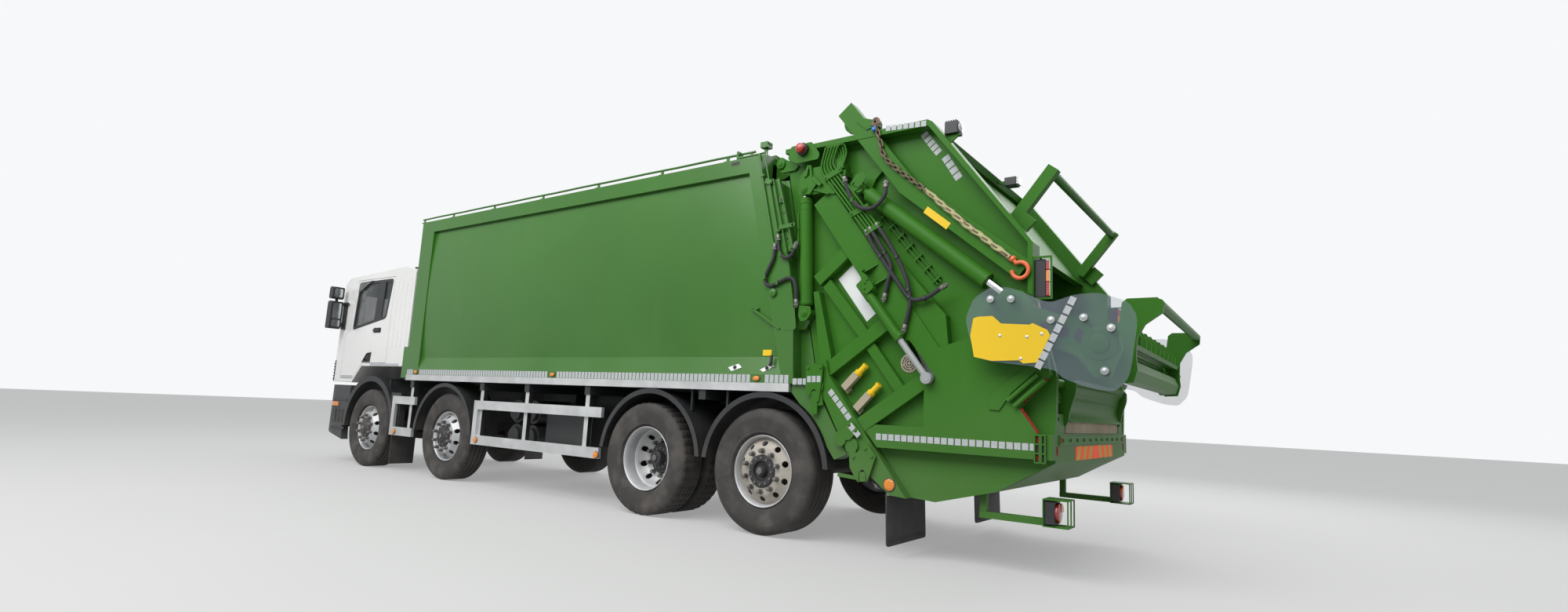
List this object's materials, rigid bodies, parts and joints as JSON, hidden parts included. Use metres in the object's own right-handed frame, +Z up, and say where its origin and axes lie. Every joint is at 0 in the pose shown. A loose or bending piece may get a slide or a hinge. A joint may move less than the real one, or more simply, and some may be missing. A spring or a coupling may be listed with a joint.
{
  "type": "rear loading garbage truck",
  "caption": "Rear loading refuse truck: cab, hollow body with ejector, hinged tailgate with packer, bin lift and twin steered front axles.",
  "frame": {"origin": "on the ground plane under the middle of the truck's length and width", "axes": "+X to the rear, +Y to the truck's right hand side, +Z up; the cab is at -X"},
  "size_m": [11.237, 2.85, 3.5664],
  "materials": {
    "green_paint": "gloss mid green paint",
    "chassis_paint": "satin dark grey chassis paint",
    "white_paint": "gloss white cab paint",
    "dark_plastic": "grained dark grey plastic",
    "black_plastic": "grained black plastic",
    "galvanised": "galvanised steel",
    "aluminium": "plain aluminium",
    "rim_silver": "silver wheel paint",
    "tyre_rubber": "tyre rubber",
    "rubber": "black rubber",
    "cast": "bare cast iron",
    "glass": "tinted glass",
    "lamp_lens": "clear and red lamp lenses",
    "head_lens": "clear lamp lenses",
    "seat_cloth": "grey seat cloth",
    "ram_steel": "polished rods",
    "grey_paint": "grey ram paint",
    "clear_sheet": "clear plastic sheet",
    "tinted": "smoked plastic"
  },
  "bodies": {
    "chassis": {"chassis_frame": "chassis_paint", "engine_block": "cast", "front_bumper": "dark_plastic", "headlamps": "head_lens", "mudguards": "black_plastic", "side_guards": "galvanised", "air_tanks_and_battery": "chassis_paint", "fuel_tank": "aluminium", "steered_axles": "cast", "rear_axles": "cast", "body_shell": "green_paint"},
    "cab": {"cab_shell": "white_paint", "windscreen": "glass", "grille": "dark_plastic", "sun_visor": "tinted", "dashboard": "dark_plastic", "seats": "seat_cloth", "mirrors": "black_plastic"},
    "ejector": {"ejector_plate": "green_paint"},
    "tailgate": {"tailgate_shell": "green_paint", "tailgate_framing": "green_paint", "carriage_barrels": "grey_paint", "chain_beams": "green_paint", "hoist_chains": "galvanised", "bin_stop_frame": "galvanised", "rear_lamps": "lamp_lens", "rear_flaps": "rubber"},
    "door_left": {"door_left": "white_paint", "door_glass_left": "glass"},
    "door_right": {"door_right": "white_paint", "door_glass_right": "glass"},
    "tailgate_barrels": {"tailgate_barrels": "green_paint"},
    "tailgate_rods": {"tailgate_rods": "ram_steel"},
    "carriage": {"carriage": "grey_paint"},
    "packer_blade": {"packer_blade": "grey_paint"},
    "lift_arms": {"lift_arms": "galvanised", "lift_shields": "clear_sheet"},
    "comb_carrier": {"comb_carrier": "galvanised"},
    "lift_barrels": {"lift_barrels": "grey_paint"},
    "lift_rods": {"lift_rods": "ram_steel"},
    "knuckle_1_left": {"knuckle_1_left": "cast"},
    "knuckle_1_right": {"knuckle_1_right": "cast"},
    "knuckle_2_left": {"knuckle_2_left": "cast"},
    "knuckle_2_right": {"knuckle_2_right": "cast"},
    "wheel_1_left": {"tyre_1_left": "tyre_rubber", "wheel_1_left": "rim_silver"},
    "wheel_1_right": {"tyre_1_right": "tyre_rubber", "wheel_1_right": "rim_silver"},
    "wheel_2_left": {"tyre_2_left": "tyre_rubber", "wheel_2_left": "rim_silver"},
    "wheel_2_right": {"tyre_2_right": "tyre_rubber", "wheel_2_right": "rim_silver"},
    "wheel_3_left": {"tyre_3_left": "tyre_rubber", "wheel_3_left": "rim_silver"},
    "wheel_3_right": {"tyre_3_right": "tyre_rubber", "wheel_3_right": "rim_silver"},
    "wheel_4_left": {"tyre_4_left": "tyre_rubber", "wheel_4_left": "rim_silver"},
    "wheel_4_right": {"tyre_4_right": "tyre_rubber", "wheel_4_right": "rim_silver"}
  },
  "joints": [
    {"name": "wheel_1_left_spin", "type": "hinge", "parent": "knuckle_1_left", "child": "wheel_1_left", "pos_m": [-4.1775, -1.036, 0.52], "axis": [0, 1, 0], "continuous": true},
    {"name": "wheel_1_right_spin", "type": "hinge", "parent": "knuckle_1_right", "child": "wheel_1_right", "pos_m": [-4.1775, 1.036, 0.52], "axis": [0, 1, 0], "continuous": true},
    {"name": "wheel_2_left_spin", "type": "hinge", "parent": "knuckle_2_left", "child": "wheel_2_left", "pos_m": [-2.2375, -1.036, 0.52], "axis": [0, 1, 0], "continuous": true},
    {"name": "wheel_2_right_spin", "type": "hinge", "parent": "knuckle_2_right", "child": "wheel_2_right", "pos_m": [-2.2375, 1.036, 0.52], "axis": [0, 1, 0], "continuous": true},
    {"name": "wheel_3_left_spin", "type": "hinge", "parent": "chassis", "child": "wheel_3_left", "pos_m": [1.2325, -0.92, 0.52], "axis": [0, 1, 0], "continuous": true},
    {"name": "wheel_3_right_spin", "type": "hinge", "parent": "chassis", "child": "wheel_3_right", "pos_m": [1.2325, 0.92, 0.52], "axis": [0, 1, 0], "continuous": true},
    {"name": "wheel_4_left_spin", "type": "hinge", "parent": "chassis", "child": "wheel_4_left", "pos_m": [2.5975, -1.034, 0.52], "axis": [0, 1, 0], "continuous": true},
    {"name": "wheel_4_right_spin", "type": "hinge", "parent": "chassis", "child": "wheel_4_right", "pos_m": [2.5975, 1.034, 0.52], "axis": [0, 1, 0], "continuous": true},
    {"name": "steer_1_left", "type": "hinge", "parent": "chassis", "child": "knuckle_1_left", "pos_m": [-4.1775, -0.872, 0.52], "axis": [0, 0, 1], "range_deg": [-30, 30]},
    {"name": "steer_1_right", "type": "hinge", "parent": "chassis", "child": "knuckle_1_right", "pos_m": [-4.1775, 0.872, 0.52], "axis": [0, 0, 1], "range_deg": [-30, 30]},
    {"name": "steer_2_left", "type": "hinge", "parent": "chassis", "child": "knuckle_2_left", "pos_m": [-2.2375, -0.872, 0.52], "axis": [0, 0, 1], "range_deg": [-20, 20]},
    {"name": "steer_2_right", "type": "hinge", "parent": "chassis", "child": "knuckle_2_right", "pos_m": [-2.2375, 0.872, 0.52], "axis": [0, 0, 1], "range_deg": [-20, 20]},
    {"name": "door_left_hinge", "type": "hinge", "parent": "cab", "child": "door_left", "pos_m": [-5.1015, -1.2, 1.6], "axis": [0, 0, 1], "range_deg": [-70, 0]},
    {"name": "door_right_hinge", "type": "hinge", "parent": "cab", "child": "door_right", "pos_m": [-5.1015, 1.2, 1.6], "axis": [0, 0, 1], "range_deg": [0, 70]},
    {"name": "cab_tilt", "type": "hinge", "parent": "chassis", "child": "cab", "pos_m": [-5.5625, 0, 1.113], "axis": [0, -1, 0], "range_deg": [0, 55]},
    {"name": "ejector_slide", "type": "slide", "parent": "chassis", "child": "ejector", "axis": [1, 0, 0], "range_m": [0, 4.6]},
    {"name": "tailgate_hinge", "type": "hinge", "parent": "chassis", "child": "tailgate", "pos_m": [2.6225, 0, 3.18], "axis": [0, -1, 0], "range_deg": [0, 80]},
    {"name": "tailgate_barrel_hinge", "type": "hinge", "parent": "chassis", "child": "tailgate_barrels", "pos_m": [2.9925, 0, 1.825], "axis": [0, -1, 0], "range_deg": [-4, 1]},
    {"name": "tailgate_rod_slide", "type": "slide", "parent": "tailgate_barrels", "child": "tailgate_rods", "axis": [-0.0562, 0, 0.9984], "range_m": [-0.01, 0.56]},
    {"name": "carriage_slide", "type": "slide", "parent": "tailgate", "child": "carriage", "axis": [-0.6159, 0, 0.7878], "range_m": [0, 0.3]},
    {"name": "packer_hinge", "type": "hinge", "parent": "carriage", "child": "packer_blade", "pos_m": [4.0125, 0, 1.72], "axis": [0, -1, 0], "range_deg": [0, 40]},
    {"name": "lift_hinge", "type": "hinge", "parent": "tailgate", "child": "lift_arms", "pos_m": [4.5775, 0, 1.628], "axis": [0, -1, 0], "range_deg": [-20, 45]},
    {"name": "lift_barrel_hinge", "type": "hinge", "parent": "tailgate", "child": "lift_barrels", "pos_m": [3.4725, 0, 2.825], "axis": [0, -1, 0], "range_deg": [-3, 3]},
    {"name": "lift_rod_slide", "type": "slide", "parent": "lift_barrels", "child": "lift_rods", "axis": [0.7869, 0, -0.617], "range_m": [-0.2, 0.1]},
    {"name": "comb_hinge", "type": "hinge", "parent": "lift_arms", "child": "comb_carrier", "pos_m": [5.2825, 0, 1.54], "axis": [0, -1, 0], "range_deg": [-15, 40]}
  ],
  "couplings": [
    {"joint": "steer_1_right", "follows": "steer_1_left", "ratio": 1},
    {"joint": "steer_2_left", "follows": "steer_1_left", "ratio": 0.65},
    {"joint": "steer_2_right", "follows": "steer_1_left", "ratio": 0.65},
    {"joint": "tailgate_barrel_hinge", "follows": "tailgate_hinge", "ratio": -0.0267},
    {"joint": "tailgate_rod_slide", "follows": "tailgate_hinge", "m_per_rad": 0.3893},
    {"joint": "lift_barrel_hinge", "follows": "lift_hinge", "ratio": -0.0414},
    {"joint": "lift_rod_slide", "follows": "lift_hinge", "m_per_rad": -0.2439}
  ]
}
